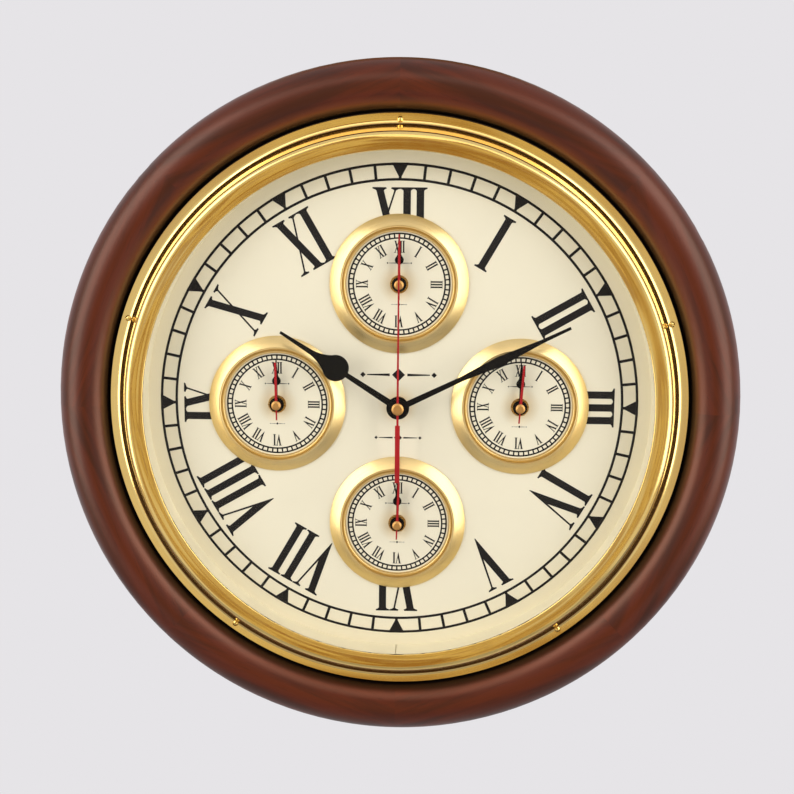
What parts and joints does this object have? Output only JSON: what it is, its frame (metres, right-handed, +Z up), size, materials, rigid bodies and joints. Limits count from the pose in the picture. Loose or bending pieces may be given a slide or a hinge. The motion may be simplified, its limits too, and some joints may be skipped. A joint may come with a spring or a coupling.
{
  "type": "world time wall clock",
  "caption": "Round wall clock with a turned wooden ring, spun brass bezel, cream dial with small dials for other time zones, and quartz movements behind.",
  "frame": {"origin": "centre of the wall hanger's round entry hole, on the wall plane at the back of the ring", "axes": "+Z up, dial facing -Y, wall on the +Y side, +X to the right as the dial is read"},
  "size_m": [0.4064, 0.0478, 0.4064],
  "materials": {
    "mahogany": "stained and lacquered, satin gloss",
    "polished_brass": "polished and lacquered",
    "satin_brass": "satin brushed",
    "clear_glass": "clear flat glass",
    "cream_strip": "plain cream",
    "cream_dial": "cream enamel, black print",
    "board": "raw fibreboard",
    "steel": "zinc plated",
    "movement_plastic": "moulded, fine texture",
    "knob_plastic": "moulded",
    "cell_sleeve": "plain printed sleeve",
    "copper": "enamelled winding",
    "circuit_green": "solder mask",
    "crystal_can": "bright can",
    "wheel_plastic": "moulded, natural",
    "black_enamel": "black enamel, satin",
    "red_enamel": "red enamel, satin"
  },
  "bodies": {
    "case": {"wooden_ring": "mahogany", "bezel": "polished_brass", "bezel_screws": "polished_brass", "bushing_nuts": "polished_brass", "bushing_washers": "polished_brass", "subdial_bezels": "satin_brass", "glass": "clear_glass", "spacer_strip": "cream_strip", "dial_plate": "cream_dial", "subdial_faces": "cream_dial", "dial_board": "board", "board_screws": "steel", "hanger_plate": "steel", "hanger_screws": "steel", "cell_contacts": "steel", "stator": "steel", "main_case": "movement_plastic", "main_cover": "movement_plastic", "top_movement": "movement_plastic", "right_movement": "movement_plastic", "bottom_movement": "movement_plastic", "left_movement": "movement_plastic", "main_cell": "cell_sleeve", "top_cell": "cell_sleeve", "right_cell": "cell_sleeve", "bottom_cell": "cell_sleeve", "left_cell": "cell_sleeve", "motor_coil": "copper", "circuit_board": "circuit_green", "crystal": "crystal_can"},
    "minute": {"minute_hand": "black_enamel", "minute_pipe": "wheel_plastic"},
    "hour": {"hour_hand": "black_enamel", "hour_wheel": "wheel_plastic"},
    "setting": {"setting_wheel": "wheel_plastic", "setting_knob": "knob_plastic"},
    "second": {"second_hand": "red_enamel", "hand_cap": "polished_brass", "second_wheel": "wheel_plastic"},
    "third": {"third_wheel": "wheel_plastic"},
    "intermediate": {"intermediate_wheel": "wheel_plastic"},
    "rotor": {"rotor": "wheel_plastic"},
    "centre": {"centre_wheel": "wheel_plastic"},
    "top_minute": {"top_minute_hand": "black_enamel"},
    "top_hour": {"top_hour_hand": "black_enamel"},
    "top_setting": {"top_setting_knob": "knob_plastic"},
    "top_second": {"top_second_hand": "red_enamel"},
    "right_minute": {"right_minute_hand": "black_enamel"},
    "right_hour": {"right_hour_hand": "black_enamel"},
    "right_setting": {"right_setting_knob": "knob_plastic"},
    "right_second": {"right_second_hand": "red_enamel"},
    "bottom_minute": {"bottom_minute_hand": "black_enamel"},
    "bottom_hour": {"bottom_hour_hand": "black_enamel"},
    "bottom_setting": {"bottom_setting_knob": "knob_plastic"},
    "bottom_second": {"bottom_second_hand": "red_enamel"},
    "left_minute": {"left_minute_hand": "black_enamel"},
    "left_hour": {"left_hour_hand": "black_enamel"},
    "left_setting": {"left_setting_knob": "knob_plastic"},
    "left_second": {"left_second_hand": "red_enamel"}
  },
  "joints": [
    {"name": "minute_turn", "type": "hinge", "parent": "case", "child": "minute", "pos_m": [0, 0, -0.18385], "axis": [0, 1, 0], "continuous": true},
    {"name": "hour_turn", "type": "hinge", "parent": "case", "child": "hour", "pos_m": [0, 0, -0.18385], "axis": [0, 1, 0], "continuous": true},
    {"name": "setting_turn", "type": "hinge", "parent": "case", "child": "setting", "pos_m": [0.005, 0, -0.17519], "axis": [0, 1, 0], "continuous": true},
    {"name": "second_turn", "type": "hinge", "parent": "case", "child": "second", "pos_m": [0, 0, -0.18385], "axis": [0, 1, 0], "continuous": true},
    {"name": "third_turn", "type": "hinge", "parent": "case", "child": "third", "pos_m": [-0.00843, 0, -0.17992], "axis": [0, 1, 0], "continuous": true},
    {"name": "intermediate_turn", "type": "hinge", "parent": "case", "child": "intermediate", "pos_m": [0.00916, 0, -0.18546], "axis": [0, 1, 0], "continuous": true},
    {"name": "rotor_turn", "type": "hinge", "parent": "case", "child": "rotor", "pos_m": [0.01592, 0, -0.183], "axis": [0, 1, 0], "continuous": true},
    {"name": "centre_turn", "type": "hinge", "parent": "case", "child": "centre", "pos_m": [0, 0, -0.18385], "axis": [0, 1, 0], "continuous": true},
    {"name": "top_minute_turn", "type": "hinge", "parent": "case", "child": "top_minute", "pos_m": [0, 0, -0.11085], "axis": [0, 1, 0], "continuous": true},
    {"name": "top_hour_turn", "type": "hinge", "parent": "case", "child": "top_hour", "pos_m": [0, 0, -0.11085], "axis": [0, 1, 0], "continuous": true},
    {"name": "top_setting_turn", "type": "hinge", "parent": "case", "child": "top_setting", "pos_m": [0.005, 0, -0.10219], "axis": [0, 1, 0], "continuous": true},
    {"name": "top_second_turn", "type": "hinge", "parent": "case", "child": "top_second", "pos_m": [0, 0, -0.11085], "axis": [0, 1, 0], "continuous": true},
    {"name": "right_minute_turn", "type": "hinge", "parent": "case", "child": "right_minute", "pos_m": [0.073, 0, -0.18385], "axis": [0, 1, 0], "continuous": true},
    {"name": "right_hour_turn", "type": "hinge", "parent": "case", "child": "right_hour", "pos_m": [0.073, 0, -0.18385], "axis": [0, 1, 0], "continuous": true},
    {"name": "right_setting_turn", "type": "hinge", "parent": "case", "child": "right_setting", "pos_m": [0.078, 0, -0.17519], "axis": [0, 1, 0], "continuous": true},
    {"name": "right_second_turn", "type": "hinge", "parent": "case", "child": "right_second", "pos_m": [0.073, 0, -0.18385], "axis": [0, 1, 0], "continuous": true},
    {"name": "bottom_minute_turn", "type": "hinge", "parent": "case", "child": "bottom_minute", "pos_m": [0, 0, -0.25685], "axis": [0, 1, 0], "continuous": true},
    {"name": "bottom_hour_turn", "type": "hinge", "parent": "case", "child": "bottom_hour", "pos_m": [0, 0, -0.25685], "axis": [0, 1, 0], "continuous": true},
    {"name": "bottom_setting_turn", "type": "hinge", "parent": "case", "child": "bottom_setting", "pos_m": [0.005, 0, -0.24819], "axis": [0, 1, 0], "continuous": true},
    {"name": "bottom_second_turn", "type": "hinge", "parent": "case", "child": "bottom_second", "pos_m": [0, 0, -0.25685], "axis": [0, 1, 0], "continuous": true},
    {"name": "left_minute_turn", "type": "hinge", "parent": "case", "child": "left_minute", "pos_m": [-0.073, 0, -0.18385], "axis": [0, 1, 0], "continuous": true},
    {"name": "left_hour_turn", "type": "hinge", "parent": "case", "child": "left_hour", "pos_m": [-0.073, 0, -0.18385], "axis": [0, 1, 0], "continuous": true},
    {"name": "left_setting_turn", "type": "hinge", "parent": "case", "child": "left_setting", "pos_m": [-0.068, 0, -0.17519], "axis": [0, 1, 0], "continuous": true},
    {"name": "left_second_turn", "type": "hinge", "parent": "case", "child": "left_second", "pos_m": [-0.073, 0, -0.18385], "axis": [0, 1, 0], "continuous": true}
  ],
  "couplings": [
    {"joint": "hour_turn", "follows": "minute_turn", "ratio": 0.083333},
    {"joint": "setting_turn", "follows": "minute_turn", "ratio": -0.33333},
    {"joint": "intermediate_turn", "follows": "second_turn", "ratio": -6},
    {"joint": "rotor_turn", "follows": "second_turn", "ratio": 30},
    {"joint": "third_turn", "follows": "second_turn", "ratio": -0.13333},
    {"joint": "centre_turn", "follows": "second_turn", "ratio": 0.016667},
    {"joint": "top_hour_turn", "follows": "top_minute_turn", "ratio": 0.083333},
    {"joint": "top_setting_turn", "follows": "top_minute_turn", "ratio": -0.33333},
    {"joint": "right_hour_turn", "follows": "right_minute_turn", "ratio": 0.083333},
    {"joint": "right_setting_turn", "follows": "right_minute_turn", "ratio": -0.33333},
    {"joint": "bottom_hour_turn", "follows": "bottom_minute_turn", "ratio": 0.083333},
    {"joint": "bottom_setting_turn", "follows": "bottom_minute_turn", "ratio": -0.33333},
    {"joint": "left_hour_turn", "follows": "left_minute_turn", "ratio": 0.083333},
    {"joint": "left_setting_turn", "follows": "left_minute_turn", "ratio": -0.33333}
  ]
}
